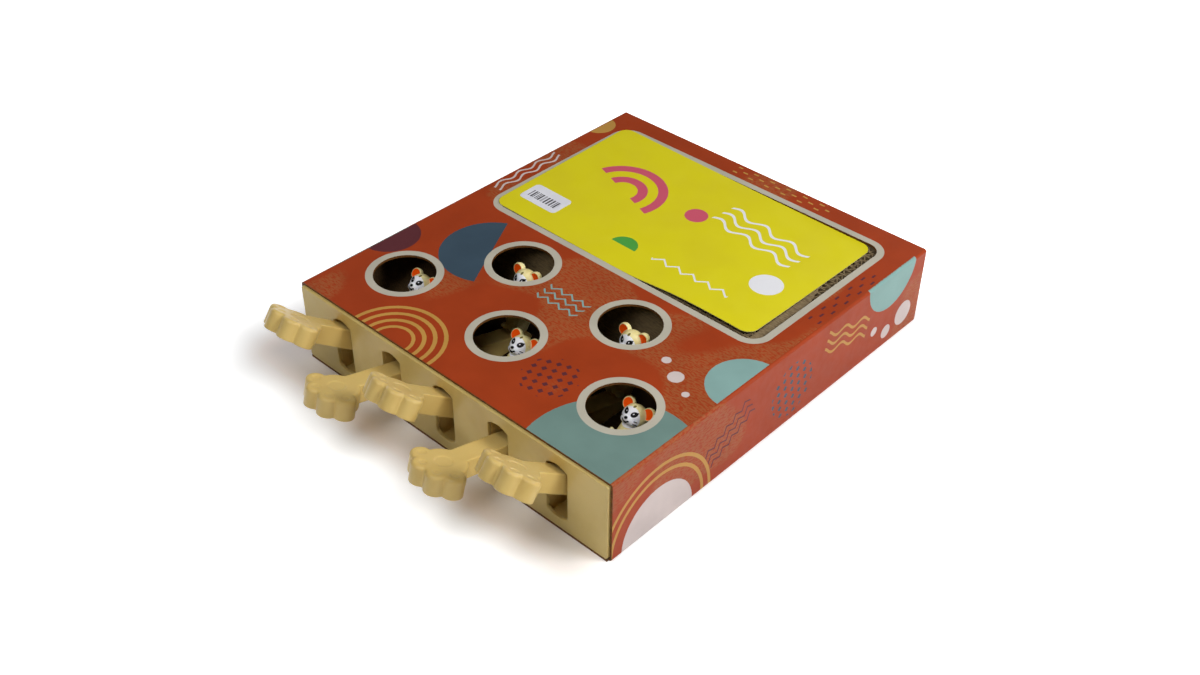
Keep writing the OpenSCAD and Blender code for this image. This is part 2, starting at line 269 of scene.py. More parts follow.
def lines(shade, x, level, length, count, pitch, width):
    """Parallel lines about level zero, cut off at both ends."""
    shifted = shade.math("ADD", level, pitch * (count - 1) / 2)
    line = within(shade, repeated(shade, shifted, pitch), width)
    return shade.most(line, within(shade, x, length), within(shade, level, pitch * count))


def waves(shade, flat, length, count, pitch, width, swing, period):
    """Parallel wavy lines."""
    x, y = shade.parts(flat)[:2]
    wave = shade.math("SINE", shade.math("MULTIPLY", x, 2 * math.pi / period))
    level = shade.math("ADD", shade.math("MULTIPLY", wave, swing), y)
    return lines(shade, x, level, length, count, pitch, width)


def zigzag(shade, flat, length, count, pitch, width, swing, period):
    """Parallel zigzag lines."""
    x, y = shade.parts(flat)[:2]
    fold = shade.math("MULTIPLY", shade.math("PINGPONG", x, period / 2), 2 * swing / period)
    level = shade.math("SUBTRACT", shade.math("ADD", fold, y), swing / 2)
    return lines(shade, x, level, length, count, pitch, width)


def diamonds(shade, flat, radius, pitch, size):
    """Round patch filled with small diamonds."""
    x, y = shade.parts(flat)[:2]
    across = shade.math("ABSOLUTE", repeated(shade, x, pitch))
    up = shade.math("ABSOLUTE", repeated(shade, y, pitch))
    figure = shade.math("SUBTRACT", shade.math("ADD", across, up), size)
    return shade.most(figure, disc(shade, flat, radius))


def dashes(shade, flat, length, height, pitch, width, dash):
    """Block of short upright dashes, every second row shifted by half a step."""
    x, y = shade.parts(flat)[:2]
    row = shade.math("DIVIDE", y, pitch)
    odd = shade.math("MODULO", shade.math("ABSOLUTE", shade.math("FLOOR", row)), 2.0)
    shifted = shade.math("ADD", x, shade.math("MULTIPLY", odd, pitch / 2))
    thick = within(shade, repeated(shade, shifted, pitch), width)
    up = shade.math("SUBTRACT", shade.math("FRACT", row), 0.5)
    tall = within(shade, shade.math("MULTIPLY", up, pitch), dash)
    return shade.most(tall, thick, within(shade, x, length), within(shade, y, height))


def rounded_block(shade, flat, width, height, radius):
    """Rectangle with round corners."""
    half = (width / 2 - radius, height / 2 - radius, 0)
    offset = shade.vector("SUBTRACT", shade.vector("ABSOLUTE", flat), half)
    beyond = shade.vector("MAXIMUM", offset, (0, 0, 0))
    return shade.math("SUBTRACT", shade.vector("LENGTH", beyond), radius)


def stroke(shade, flat, length, width):
    """Straight stroke with round ends."""
    return rounded_block(shade, flat, length, width, width / 2)


# Half the width over which a printed edge fades
PRINT_SOFT = 0.12


def with_motifs(shade, flat, colour, motifs, ragged=0.0, soft=PRINT_SOFT, share=1.0):
    """The colour with motifs drawn over it where share is one; ragged shifts their edges.

    Each motif has its shape, its spot on the face, its turn in degrees, its sizes and its ink.
    """
    for shape, spot, turn, sizes, paint in motifs:
        distance = shape(shade, shade.at(flat, *spot, turn), *sizes)
        covered = shade.inside(shade.math("ADD", distance, ragged), soft)
        colour = shade.mix(shade.math("MULTIPLY", covered, share), colour, paint)
    return colour


# Places that the print follows, in millimetres

# Margin for telling the window's points from those of the outline and the holes
EDGE_MARGIN = 5


def opening_middle(name):
    """Middle of one of the record's openings, in millimetres."""
    for opening in frame["record"]["physics"]["openings"]:
        if opening["name"] == name:
            low, high = (Vector(corner) for corner in opening["box_m"])
            return (low + high) / 2 / MM
    raise KeyError(name)


def window_corners():
    """Lowest and highest corner of the window in the box top, in millimetres."""
    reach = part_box("box_top")[1] / MM - Vector((EDGE_MARGIN, EDGE_MARGIN, 0))
    points = [vertex.co / MM for vertex in frame["nodes"]["box_top"].data.vertices]
    inner = [p for p in points if abs(p.x) < reach.x and -EDGE_MARGIN < p.y < reach.y]
    low = (min(p.x for p in inner), min(p.y for p in inner))
    high = (max(p.x for p in inner), max(p.y for p in inner))
    return low, high


HOLES = [opening_middle(f"hole_{lane}") for lane in LANES]
WINDOW_LOW, WINDOW_HIGH = window_corners()
# Outer radius of a hole's ring, and the width and outer corner radius of the window's band
HOLE_RING = 24.8
WINDOW_BAND = 4.8
WINDOW_BAND_R = 14.8

# Motifs of the four printed faces, in the form that with_motifs takes
TOP_MOTIFS = [
    (disc, (118, -138), 0, (52,), TEAL),
    (hill, (-70, -46), 118, (34,), NAVY),
    (rainbow, (-46, -150), 0, (12, 35, 6.5, 2.6), OCHRE),
    (diamonds, (46, -110), 20, (18, 6.4, 2.0), VIOLET),
    (zigzag, (0, -52), 0, (34, 3, 6, 1.5, 4, 9), TEAL_PALE),
    (waves, (-124, 40), 90, (62, 2, 5, 1.6, 1.6, 18), LILAC),
    (hill, (132, -38), 90, (24,), TEAL_PALE),
    (dashes, (124, 70), 0, (12, 66, 7, 1.4, 4), VIOLET),
    (hill, (-132, 122), 270, (12,), OCHRE),
    (hill, (-132, -78), 270, (20,), VIOLET),
    (dashes, (20, 143), 90, (10, 80, 7, 1.3, 4), OCHRE),
    (disc, (98, -60), 0, (5,), LILAC),
    (disc, (84, -52), 0, (3,), LILAC),
    (disc, (112, -68), 0, (2.4,), LILAC),
]
RIGHT_MOTIFS = [
    (hill, (-112, 0), 0, (30,), LILAC),
    (rainbow, (-112, 0), 0, (34, 47, 6.5, 2.4), OCHRE),
    (zigzag, (-50, 30), 28, (44, 3, 6, 1.5, 4, 9), VIOLET),
    (diamonds, (10, 26), 12, (20, 6.4, 2.0), NAVY),
    (waves, (66, 36), -14, (48, 3, 6, 2.0, 2, 20), OCHRE),
    (hill, (112, 58), 180, (26,), TEAL_PALE),
    (disc, (132, 17), 0, (9,), LILAC),
    (disc, (113, 12), 0, (5,), LILAC),
    (disc, (98, 20), 0, (3.4,), LILAC),
]
LEFT_MOTIFS = [
    (hill, (-96, 58), 180, (32,), TEAL),
    (waves, (-40, 20), 10, (52, 3, 6, 2.0, 2, 20), LILAC),
    (diamonds, (22, 30), 8, (20, 6.4, 2.0), VIOLET),
    (rainbow, (84, 0), 0, (14, 41, 6.5, 2.6), OCHRE),
    (disc, (130, 40), 0, (8,), LILAC),
    (disc, (118, 48), 0, (4,), LILAC),
]
BACK_MOTIFS = [
    (rainbow, (-80, 0), 0, (14, 41, 6.5, 2.6), OCHRE),
    (dashes, (-10, 30), 0, (56, 28, 7, 1.4, 4), VIOLET),
    (hill, (64, 58), 180, (34,), NAVY),
    (waves, (106, 16), 0, (40, 3, 6, 2.0, 2, 20), LILAC),
]

# Wandering of the ink's edges, and the patches of dry brush: sizes, and levels of the noise at their edges
RAGGED = 0.5
GRAIN_SIZE = 1.6
PATCH_SIZE = 95
PATCH_EDGE = (0.53, 0.56)
BRISTLE_SIZE = 1.1
BRISTLE_EDGE = (0.38, 0.58)
BRISTLE_STRETCH = (0.35, 1.0, 1.0)


def paper_patch(shade, flat):
    """Broad patches where the ground colour was laid on with a dry brush, as a share from 0 to 1."""
    region = shade.noise(flat, PATCH_SIZE, detail=1)
    bristles = shade.noise(shade.vector("MULTIPLY", flat, BRISTLE_STRETCH), BRISTLE_SIZE, detail=2)
    return shade.math("MULTIPLY", shade.ramp(region, *PATCH_EDGE), shade.ramp(bristles, *BRISTLE_EDGE))


def printed_ground(shade, flat, motifs):
    """Orange ground with the motifs over it, in slightly ragged ink."""
    grain = shade.math("SUBTRACT", shade.noise(flat, GRAIN_SIZE), 0.5)
    ragged = shade.math("MULTIPLY", grain, RAGGED)
    ground = shade.mix(paper_patch(shade, flat), ORANGE, ORANGE_LIGHT)
    return with_motifs(shade, flat, ground, motifs, ragged)


def hole_rings(shade, flat, colour):
    """Plain rings around the holes and a plain band around the window."""
    rings = shade.least(*[disc(shade, shade.at(flat, hole.x, hole.y), HOLE_RING) for hole in HOLES])
    low, high = WINDOW_LOW, WINDOW_HIGH
    middle = ((low[X] + high[X]) / 2, (low[Y] + high[Y]) / 2)
    sides = (high[X] - low[X] + 2 * WINDOW_BAND, high[Y] - low[Y] + 2 * WINDOW_BAND)
    band = rounded_block(shade, shade.at(flat, *middle), *sides, WINDOW_BAND_R)
    return shade.mix(shade.inside(shade.least(rings, band), PRINT_SOFT), colour, BAND)


# Materials

# Scales of the position, of which the smallest makes a noise long in that direction
FIBRE_STRETCH = (0.25, 1.0, 1.0)
FLOW_STRETCH = (1.0, 0.3, 1.0)
STREAK_STRETCH = (0.05, 1.0, 1.0)
# Colour of a flow mark in the plastic, as shares of the plastic's own
FLOW_TINT = (0.92, 0.89, 0.82, 1.0)
# Share of a normal along an axis, below and above which a face looks away from it or along it
EDGE_NORMAL = (0.5, 0.6)


def kraft_colour(shade, place, tones):
    """Brown paper in two tones, with long fibres and clouds."""
    fibres = shade.noise(shade.vector("MULTIPLY", place, FIBRE_STRETCH), size=0.9, detail=4)
    clouds = shade.ramp(shade.noise(place, size=14), 0.2, 0.8, to_low=0.5)
    return shade.mix(shade.math("MULTIPLY", shade.ramp(fibres, 0.3, 0.75), clouds), *tones)


def worn(shade, place, colour):
    """A print's colour, a little uneven over the sheet."""
    strength = shade.ramp(shade.noise(place, size=30), 0.3, 0.7, to_low=0.93, to_high=1.05)
    return shade.mix(1.0, colour, shade.grey(strength), "MULTIPLY")


def cut_edge(shade, axis):
    """One on the cut edges of a board whose printed face looks along that axis.

    The box's sides are folded at the top and the bottom, so only their ends, along Y, are cut.
    """
    low, high = EDGE_NORMAL
    if axis == X:
        return shade.ramp(shade.math("ABSOLUTE", shade.normal()[Y]), low, high)
    return shade.ramp(shade.math("ABSOLUTE", shade.normal()[axis]), high, low)


def printed_card(name, outward, across, up, motifs, with_rings=False, inside=KRAFT):
    """Printed board: print on the outside, brown paper inside and dark cut edges.

    outward is the axis of the printed face and its sign, across and up are the drawing's axes,
    inside is the paper's pair of tones on the inner face.
    """
    shade = Shade(name)
    place = shade.place()
    flat = shade.plane(place, across, up)
    colour = printed_ground(shade, flat, motifs)
    if with_rings:
        colour = hole_rings(shade, flat, colour)
    colour = worn(shade, place, colour)
    axis, sign = outward
    facing = shade.math("MULTIPLY", shade.normal()[axis], float(sign))
    colour = shade.mix(shade.ramp(facing, 0.3, -0.3), colour, kraft_colour(shade, place, inside))
    colour = shade.mix(cut_edge(shade, axis), colour, kraft_colour(shade, place, CUT_EDGE))
    shade.set(Base_Color=colour, Specular_IOR_Level=0.12)
    shade.set(Roughness=shade.ramp(shade.noise(place, size=6), 0.2, 0.8, to_low=0.40, to_high=0.52))
    shade.bump(shade.noise(place, size=0.7, detail=4), depth=0.04, strength=0.5)
    return shade.material


def kraft(name, tones):
    """Plain brown paper."""
    shade = Shade(name)
    place = shade.place()
    shade.set(Base_Color=kraft_colour(shade, place, tones), Roughness=0.88, Specular_IOR_Level=0.2)
    shade.bump(shade.noise(place, size=0.8, detail=4), depth=0.08, strength=0.7)
    return shade.material


def moulded_plastic(name, colour):
    """Injection moulded plastic: even colour with faint flow marks and a fine, slightly worn skin."""
    shade = Shade(name)
    place = shade.place()
    deep = tuple(value * share for value, share in zip(colour, FLOW_TINT))
    flow = shade.noise(shade.vector("MULTIPLY", place, FLOW_STRETCH), size=22)
    wear = shade.noise(place, size=3, detail=5)
    shade.set(Base_Color=shade.mix(shade.ramp(flow, 0.35, 0.75), colour, deep), Specular_IOR_Level=0.32)
    shade.set(Roughness=shade.ramp(wear, 0.25, 0.75, to_low=0.30, to_high=0.42))
    shade.set(Subsurface_Weight=0.08, Subsurface_Radius=(2.0 * MM, 1.2 * MM, 0.6 * MM))
    shade.bump(shade.noise(place, size=0.5), depth=0.015, strength=0.6)
    return shade.material


def rod_steel():
    """Drawn steel with streaks along the rod."""
    shade = Shade("rod_steel")
    streaks = shade.noise(shade.vector("MULTIPLY", shade.place(), STREAK_STRETCH), size=0.6, detail=4)
    shade.set(Base_Color=shade.mix(streaks, *STEEL), Metallic=1.0)
    shade.set(Roughness=shade.ramp(streaks, 0.2, 0.8, to_low=0.25, to_high=0.45))
    shade.bump(streaks, depth=0.02)
    return shade.material


# Mesh pieces

MOULD_ROUNDS = 3
MOULD_KEEP = 0.3
MOULD_CREASE = 60
# In millimetres: the voxels of the remesh, and the base's place behind the front panel's face
LEVER_VOXEL = 0.4
PANEL_VOXEL = 0.6
BASE_SETBACK = 0.1


def add_piece(name, mesh, body, material, replaced):
    """Puts a mesh into the scene on its body with its finish, and hides the nodes that it stands for."""
    piece = bpy.data.objects.new(name, mesh)
    bpy.context.scene.collection.objects.link(piece)
    mesh.materials.clear()
    mesh.materials.append(material)
    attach(piece, body)
    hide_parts(*replaced)


def smooth_by_angle(mesh, degrees):
    """Smooth shading, with edges sharper than the angle left crisp."""
    mesh.shade_smooth()
    mesh.set_sharp_from_angle(angle=math.radians(degrees))


def modified(mesh, *steps):
    """New mesh: the given one after a stack of modifiers, each a type with its settings."""
    carrier = bpy.data.objects.new("carrier", mesh)
    bpy.context.scene.collection.objects.link(carrier)
    for kind, settings in steps:
        modifier = carrier.modifiers.new(kind, kind)
        for key, value in settings.items():
            setattr(modifier, key, value)
    depsgraph = bpy.context.evaluated_depsgraph_get()
    made = bpy.data.meshes.new_from_object(carrier.evaluated_get(depsgraph))
    bpy.data.objects.remove(carrier)
    return made


def moulded(mesh, voxel, keep=MOULD_KEEP):
    """The mesh with every edge and corner rounded as a mould leaves it."""
    coarse = 1.0
    return modified(
        mesh,
        ("REMESH", {"mode": "VOXEL", "voxel_size": voxel * coarse * MM, "use_smooth_shade": True}),
        ("SMOOTH", {"factor": 0.5, "iterations": MOULD_ROUNDS}),
        ("DECIMATE", {"ratio": keep}),
    )


def joint_of(body):
    """The joint that a body moves on."""
    for joint in frame["joints"]:
        if joint["child"] == body:
            return joint
    raise KeyError(body)


def resting_tilt(node):
    """Angle of a lever's level top at rest, from the direction that most of its upper faces point in."""
    areas = {}
    for face in frame["nodes"][node].data.polygons:
        square_on = abs(face.normal.x) < 0.01
        upward = face.normal.z > 0.5
        if square_on and upward:
            angle = round(math.degrees(math.atan2(face.normal.y, face.normal.z)), 1)
            areas[angle] = areas.get(angle, 0) + face.area
    return math.radians(max(areas, key=areas.get))


def level_frame(lane):
    """Matrix from a lever's own level frame, with its pivot at the origin, to its place at rest."""
    pivot = Vector(joint_of(f"paw_lever_{lane}")["pos_m"])
    return Matrix.Translation(pivot) @ Matrix.Rotation(-resting_tilt(f"lever_{lane}"), 4, "X")


def make_lever(lane, material):
    """Paw lever, rounded in its own level frame so that its flat top stays flat."""
    name = f"lever_{lane}"
    resting = level_frame(lane)
    mesh = frame["nodes"][name].data.copy()
    mesh.transform(resting.inverted())
    mesh = moulded(mesh, LEVER_VOXEL)
    mesh.transform(resting)
    smooth_by_angle(mesh, MOULD_CREASE)
    add_piece(f"paw_lever_{lane}", mesh, f"paw_lever_{lane}", material, (name,))


def make_front_panel(material):
    """Slotted front panel."""
    mesh = moulded(frame["nodes"]["front_panel"].data.copy(), PANEL_VOXEL)
    smooth_by_angle(mesh, MOULD_CREASE)
    add_piece("slotted_front_panel", mesh, "box", material, ("front_panel",))


def make_base(material):
    """The card bottom, whose cut front edge shows below the proud front panel."""
    mesh = frame["nodes"]["box_base"].data.copy()
    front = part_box("box_base")[0].y + ON_PLANE
    for vertex in mesh.vertices:
        if vertex.co.y < front:
            vertex.co.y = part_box("front_panel")[0].y + BASE_SETBACK * MM
    add_piece("card_base", mesh, "box", material, ("box_base",))


# Toy mice, drawn on their seat: X to the side, -Y to the front, Z up, in millimetres

MOUSE_VOXEL = 0.3
MOUSE_KEEP = 0.4
MOUSE_HEAD = Vector((0, 0, 35))
MOUSE_HEAD_R = 7.75
MOUSE_HEAD_SHARES = (1.0, 0.96, 0.98)
MOUSE_SNOUT = Vector((0, -5.2, 32.9))
MOUSE_SNOUT_R = (4.4, 3.6, 3.2)
MOUSE_NOSE = Vector((0, -8.7, 33.6))
MOUSE_NOSE_R = (1.2, 0.9, 0.9)
MOUSE_EAR = Vector((7.6, 1.0, 40))
MOUSE_EAR_FRONT = 1.8
OWN_PLACE = "own_place"

# Paint: the inner ear's reach, its gap to the head, and where on the way to the front the face begins
EAR_INK_R = 3.3
EAR_INK_DEPTH = 0.7
EAR_INK_GAP = 0.15
EAR_INK_SOFT = 0.2
FACE_SOFT = 0.14
FACE_START = (-1.4, -2.0)

# Profiles of the body and of an ear: each point's radius and its height along the axis
MOUSE_BODY_PROFILE = [
    (6.6, 0), (7.2, 1.2), (7.9, 5), (8.0, 9), (7.6, 14), (6.9, 19), (6.0, 25), (5.2, 30), (4.6, 34),
]
MOUSE_EAR_PROFILE = [
    (1.4, -3.2), (2.9, -2.7), (3.8, -1.5), (4.1, 0), (4.0, 1.0), (3.6, MOUSE_EAR_FRONT), (3.0, 1.5),
]

# Swellings on both sides: each one's centre, its radii and its lean outwards and forwards in degrees
MOUSE_SWELLINGS = [
    ((5.4, 1.0, 38.0), (2.8, 1.7, 2.8), 0),  # root of the ear
    ((2.5, -4.3, 32.3), (2.9, 3.1, 2.6), 0),  # cheek
    ((5.2, -5.4, 20.5), (1.9, 2.0, 4.6), 24),  # arm
    ((4.0, -7.6, 17.6), (2.1, 2.0, 2.0), 0),  # hand
    ((4.4, -6.4, 1.8), (2.8, 3.2, 1.8), 0),  # foot
]

# Half of the painted face, which is mirrored: motifs by their distance from the middle and their height
FACE_MOTIFS = [
    (oval, (0, 34.2), 0, (6.5, 6.4), MASK_WHITE),  # mask
    (oval, (2.9, 36.9), 46, (2.0, 1.55), FACE_BLACK),  # eye
    (stroke, (3.9, 38.0), 50, (1.9, 0.9), FACE_BLACK),  # lash
    (oval, (2.6, 37.1), 46, (0.42, 0.3), MASK_WHITE),  # glint in the eye
    (oval, (0, 33.7), 0, (1.2, 0.9), FACE_BLACK),  # nose
    (stroke, (1.2, 31.5), 34, (3.2, 0.9), FACE_BLACK),  # smile
    (oval, (0, 31.0), 0, (1.2, 0.7), FACE_BLACK),  # lip
    (stroke, (5.1, 33.4), 4, (1.7, 0.55), FACE_BLACK),  # upper whisker
    (stroke, (5.1, 31.7), -14, (1.7, 0.55), FACE_BLACK),  # lower whisker
    (oval, (0, 40.9), 0, (0.8, 0.8), BROW_BROWN),  # fleck on the brow
]


def blob(mesh_data, centre, radii, turn=Matrix(), segments=32):
    """Adds an ellipsoid to a bmesh."""
    place = Matrix.Translation(centre) @ turn @ Matrix.Diagonal((*radii, 1))
    rings = segments // 2
    bmesh.ops.create_uvsphere(mesh_data, u_segments=segments, v_segments=rings, radius=1, matrix=place)


def lathe(mesh_data, profile, place=Matrix(), segments=40):
    """Adds a body of revolution about Z from (radius, height) points; it closes at both ends."""
    angles = [2 * math.pi * i / segments for i in range(segments)]
    rings = []
    for radius, height in profile:
        points = [place @ Vector((radius * math.cos(a), radius * math.sin(a), height)) for a in angles]
        rings.append([mesh_data.verts.new(point) for point in points])
    for low, high in zip(rings, rings[1:]):
        for i in range(segments):
            j = (i + 1) % segments
            mesh_data.faces.new((low[i], low[j], high[j], high[i]))
    mesh_data.faces.new(list(reversed(rings[0])))
    mesh_data.faces.new(rings[-1])


def mouse_form():
    """Overlapping closed forms of a mouse: pear-shaped body, round head with a snout, ears, arms and feet."""
    made = bmesh.new()
    lathe(made, MOUSE_BODY_PROFILE)
    blob(made, MOUSE_HEAD, [MOUSE_HEAD_R * share for share in MOUSE_HEAD_SHARES])
    blob(made, MOUSE_SNOUT, MOUSE_SNOUT_R)
    blob(made, MOUSE_NOSE, MOUSE_NOSE_R)
    facing_front = Matrix.Rotation(math.radians(90), 4, "X")
    for side in (-1, 1):
        ear = Matrix.Translation((side * MOUSE_EAR.x, MOUSE_EAR.y, MOUSE_EAR.z))
        lathe(made, MOUSE_EAR_PROFILE, ear @ facing_front)
        for (x, y, z), radii, lean in MOUSE_SWELLINGS:
            outwards = Matrix.Rotation(math.radians(side * lean), 4, "Y")
            forwards = Matrix.Rotation(math.radians(lean), 4, "X")
            blob(made, (side * x, y, z), radii, outwards @ forwards)
    return made


def mouse_mesh():
    """One closed mouse in its own frame, which keeps each point's own place for the paint."""
    form = mouse_form()
    mesh = bpy.data.meshes.new("mouse")
    form.to_mesh(mesh)
    form.free()
    mesh.transform(Matrix.Scale(MM, 4))
    mesh = moulded(mesh, MOUSE_VOXEL, MOUSE_KEEP)
    mesh.shade_smooth()
    own = mesh.attributes.new(OWN_PLACE, "FLOAT_VECTOR", "POINT")
    own.data.foreach_set("vector", [value / MM for vertex in mesh.vertices for value in vertex.co])
    return mesh


def inner_ear(shade, place, mirrored):
    """One in the painted hollow of an ear: inside its rim, on its front and off the head."""
    lobe = disc(shade, shade.at(mirrored, MOUSE_EAR.x, MOUSE_EAR.z), EAR_INK_R)
    front = shade.math("SUBTRACT", shade.parts(place)[Y], MOUSE_EAR.y - MOUSE_EAR_FRONT + EAR_INK_DEPTH)
    from_head = shade.vector("LENGTH", shade.vector("SUBTRACT", place, tuple(MOUSE_HEAD)))
    on_head = shade.math("SUBTRACT", MOUSE_HEAD_R + EAR_INK_GAP, from_head)
    return shade.inside(shade.most(lobe, front, on_head), EAR_INK_SOFT)


def painted_mouse():
    """Cream vinyl with a painted face and orange inner ears."""
    shade = Shade("mouse_vinyl")
    place = shade.node("ShaderNodeAttribute", attribute_name=OWN_PLACE).outputs["Vector"]
    x, y, z = shade.parts(place)
    mirrored = shade.flat(shade.math("ABSOLUTE", x), z)
    clouds = shade.ramp(shade.noise(place, size=5), 0.3, 0.7)
    frontal = shade.ramp(y, *FACE_START)
    colour = shade.mix(clouds, *VINYL)
    colour = with_motifs(shade, mirrored, colour, FACE_MOTIFS, soft=FACE_SOFT, share=frontal)
    colour = shade.mix(inner_ear(shade, place, mirrored), colour, EAR_ORANGE)
    shade.set(Base_Color=colour, Specular_IOR_Level=0.1)
    shade.set(Roughness=shade.ramp(shade.noise(place, size=1.2), 0.3, 0.7, to_low=0.34, to_high=0.46))
    shade.set(Subsurface_Weight=0.06, Subsurface_Radius=(1.5 * MM, 1.0 * MM, 0.5 * MM))
    shade.bump(shade.noise(place, size=0.6), depth=0.02, strength=0.5)
    return shade.material


def mouse_seat(lane):
    """Matrix from a mouse's own frame to its place on the resting lever."""
    resting = level_frame(lane)
    back = resting.inverted()
    points = [back @ vertex.co for vertex in frame["nodes"][f"mouse_{lane}"].data.vertices]
    seat = min(point.z for point in points)
    rim = [point.y for point in points if point.z < seat + ON_PLANE]
    return resting @ Matrix.Translation((0, (min(rim) + max(rim)) / 2, seat))


def make_mouse(lane, mesh, material):
    """A copy of the mouse on its lever."""
    made = mesh.copy()
    made.transform(mouse_seat(lane))
    replaced = (f"mouse_{lane}",)
    add_piece(f"toy_mouse_{lane}", made, f"paw_lever_{lane}", material, replaced)


# Corrugated pad, with lengths in millimetres

PAD_SEED = 7
PAD_CREASE = 45
FLUTE_PITCH = 5.9
STRIP_PITCH = 5.5
LINER_T = 1.0
LINER_DROP = 0.25
FLUTE_T = 0.85
FLUTE_DROP = 0.15
WAVE_STEPS = 12

# Crushing of the waves: its share of their height, and the ranges of its stretch and its start
FLUTE_CRUSH = 0.12
CRUSH_LENGTHS = (5, 9)
CRUSH_STARTS = (0, 6)

# Strip of paper that is crushed flat on the pad, beside the card
PRESSED_WIDTH = 5.6
PRESSED_LEAST = 0.6
PRESSED_LENGTH = 76
PRESSED_START = 1
PRESSED_INSET = 7.4
PRESSED_RAGGED = 0.5
PRESSED_TAPER = 0.25
PRESSED_STEPS = 40
PRESSED_T = 0.5
PRESSED_DROP = 0.12


def ribbon(points, thickness, low, high):
    """Vertices and faces of an upright paper ribbon along a line of (x, y) points, between two heights."""
    points = np.array(points)
    along = np.gradient(points, axis=0)
    normal = np.stack([-along[:, 1], along[:, 0]], 1)
    normal /= np.linalg.norm(normal, axis=1)[:, None]
    near, far = points - normal * thickness / 2, points + normal * thickness / 2
    count = len(points)
    high = np.broadcast_to(high, count)
    columns = [(near, np.full(count, low)), (far, np.full(count, low)), (far, high), (near, high)]
    verts = np.concatenate([np.column_stack([flat, level]) for flat, level in columns])
    faces = []
    for side in range(4):
        first, second = side * count, (side + 1) % 4 * count
        faces += [(first + i, first + i + 1, second + i + 1, second + i) for i in range(count - 1)]
    faces.append(tuple(side * count for side in (3, 2, 1, 0)))
    faces.append(tuple(side * count + count - 1 for side in range(4)))
    return verts, faces


def pressed_strip(rng):
    """Line of (x, y) points and widths of the paper that is crushed flat beside the card."""
    share = np.linspace(0, 1, PRESSED_STEPS)
    y = WINDOW_LOW[Y] + PRESSED_START + share * PRESSED_LENGTH
    taper = np.clip((1 - share) / PRESSED_TAPER, 0, 1)
    width = PRESSED_WIDTH * taper + rng.uniform(-PRESSED_RAGGED, PRESSED_RAGGED, PRESSED_STEPS)
    x = WINDOW_HIGH[X] - PRESSED_INSET + width / 2
    return np.column_stack([x, y]), np.maximum(width, PRESSED_LEAST)


def flute_line(x, phase, middle, swing, rng):
    """Line of (x, y) points of a waved sheet, whose waves are crushed a little here and there."""
    crush_length = rng.uniform(*CRUSH_LENGTHS)
    crush_start = rng.uniform(*CRUSH_STARTS)
    crush = 1 - FLUTE_CRUSH * np.abs(np.sin(phase / crush_length + crush_start))
    shifted = phase + rng.uniform(0, 2 * math.pi)
    return np.column_stack([x, middle + swing * crush * np.sin(shifted)])


def pad_ribbons():
    """Ribbons of the pad: flat liners with a waved sheet between each two, and a pressed strip on top."""
    rng = np.random.default_rng(PAD_SEED)
    low, high = (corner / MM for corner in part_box("pad_liners"))
    strips = round((high.y - low.y) / STRIP_PITCH)
    pitch = (high.y - low.y - LINER_T) / strips
    swing = (pitch - LINER_T - FLUTE_T) / 2
    waves_along = round((high.x - low.x) / FLUTE_PITCH)
    x = np.linspace(low.x, high.x, waves_along * WAVE_STEPS + 1)
    phase = (x - low.x) / (high.x - low.x) * waves_along * 2 * math.pi
    ribbons = []
    for strip in range(strips + 1):
        y = low.y + LINER_T / 2 + strip * pitch
        top = high.z - rng.uniform(0, LINER_DROP)
        ends = [(low.x, y), (low.x / 3, y), (high.x / 3, y), (high.x, y)]
        ribbons.append(ribbon(ends, LINER_T, low.z, top))
        if strip == strips:
            break
        line = flute_line(x, phase, y + pitch / 2, swing, rng)
        ribbons.append(ribbon(line, FLUTE_T, low.z, top - rng.uniform(0, FLUTE_DROP, len(x))))
    line, width = pressed_strip(rng)
    pressed_top = high.z - rng.uniform(0, PRESSED_DROP, len(line))
    ribbons.append(ribbon(line, width[:, None], high.z - PRESSED_T, pressed_top))
    return ribbons


def make_pad(material):
    """The corrugated pad: strips of paper side by side."""
    verts, faces, offset = [], [], 0
    for points, around in pad_ribbons():
        verts.append(points)
        faces += [tuple(index + offset for index in face) for face in around]
        offset += len(points)
    mesh = bpy.data.meshes.new("corrugated_pad")
    mesh.from_pydata(np.concatenate(verts) * MM, [], faces)
    mesh.update()
    smooth_by_angle(mesh, PAD_CREASE)
    add_piece("corrugated_pad", mesh, "box", material, ("pad_liners", "pad_flutes"))


# Loose card and its label, with lengths in millimetres

SHEET_CREASE = 40
CORNER_STEPS = 9
CARD_T = 0.5
CARD_R = 8
# Gaps under the card, above the box and above the pad
CARD_ON_BOX = 0.1
CARD_ON_PAD = 0.2
# How far the card's back and front edges curl up, and where and how widely the front one does
CARD_BACK_CURL = 1.9
CARD_FRONT_CURL = 2.4
CARD_CURL_X = 75
CARD_CURL_REACH = 55
# How far the front edge bows out and lies back, and the stretches of X over which it changes
CARD_BOW = 1.5
CARD_BOW_RANGE = (10, 45)
CARD_RECESS = 1.8
CARD_RECESS_RANGE = (0, 60)
LABEL_R = 3.2
LABEL_T = 0.15
LABEL_ON_CARD = 0.01
BAR_WIDTH = 1.3
# Distance from a bar's edge for each step of the noise that draws it, in bar widths
BAR_SLOPE = 4
BARS_SIZE = (25, 7.6)
BARS_R = 0.2
BARS_DROP = -1.2

CARD_MOTIFS = [
    (rainbow, (-58, 66), -20, (9, 38, 14, 7), PINK),
    (disc, (-2, 78), 0, (8,), PINK),
    (waves, (44, 88), -8, (72, 3, 9, 2.2, 3, 24), WHITE),
    (disc, (80, 48), 0, (11,), WHITE),
    (zigzag, (40, 22), 0, (62, 1, 9, 1.6, 5, 12), WHITE),
    (hill, (-14, 18), 0, (10,), GREEN),
]


def blend(value, low, high):
    """Smooth step from 0 to 1 between two values."""
    share = np.clip((value - low) / (high - low), 0, 1)
    return share * share * (3 - 2 * share)


